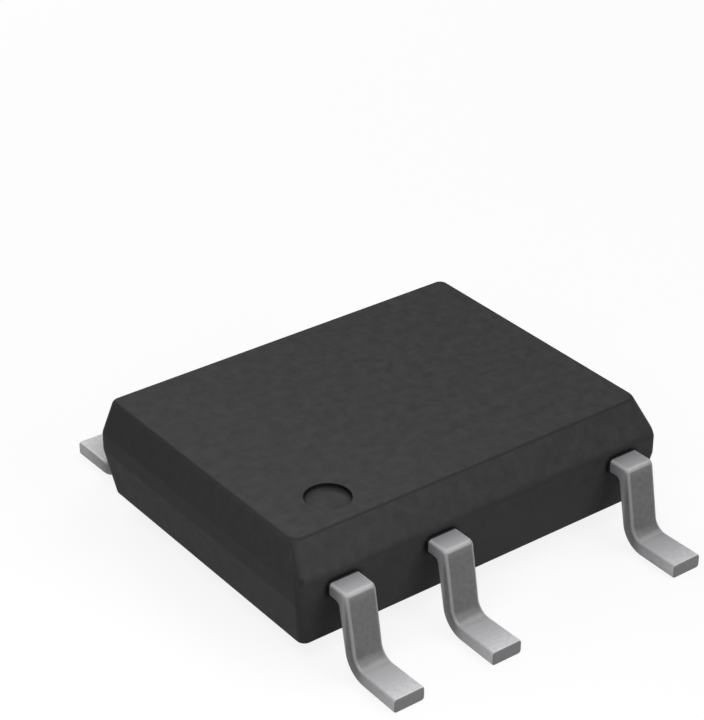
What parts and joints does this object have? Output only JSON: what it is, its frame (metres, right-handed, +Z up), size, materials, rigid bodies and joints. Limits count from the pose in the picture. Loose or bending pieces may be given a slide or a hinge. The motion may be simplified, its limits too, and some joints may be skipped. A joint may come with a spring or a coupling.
{
  "type": "soic chip",
  "caption": "Moulded small-outline chip for soldering to a circuit board, with gull-wing leads along both long sides, a bevelled edge and a round mark in a corner.",
  "frame": {"origin": "middle of the footprint, on the plane that the soles of the leads rest on", "axes": "+X along the lead rows, away from the end with the round mark; +Y across the rows, away from the side with the mark; +Z up from the board"},
  "size_m": [0.0048, 0.006, 0.0014],
  "materials": {
    "compound": "finely grained matte",
    "tinned_lead": "matte tin plating on copper alloy",
    "adhesive": "silver-filled adhesive",
    "silicon": "polished silicon",
    "bond_wire": "drawn copper wire"
  },
  "bodies": {
    "root": {"case": "compound", "lead_1": "tinned_lead", "lead_2": "tinned_lead", "lead_4": "tinned_lead", "pad_frame": "tinned_lead", "die_attach": "adhesive", "die": "silicon", "wire_1": "bond_wire", "wire_2": "bond_wire", "wire_4_left": "bond_wire", "wire_4_right": "bond_wire", "wire_pad_left": "bond_wire", "wire_pad_right": "bond_wire"}
  },
  "joints": []
}
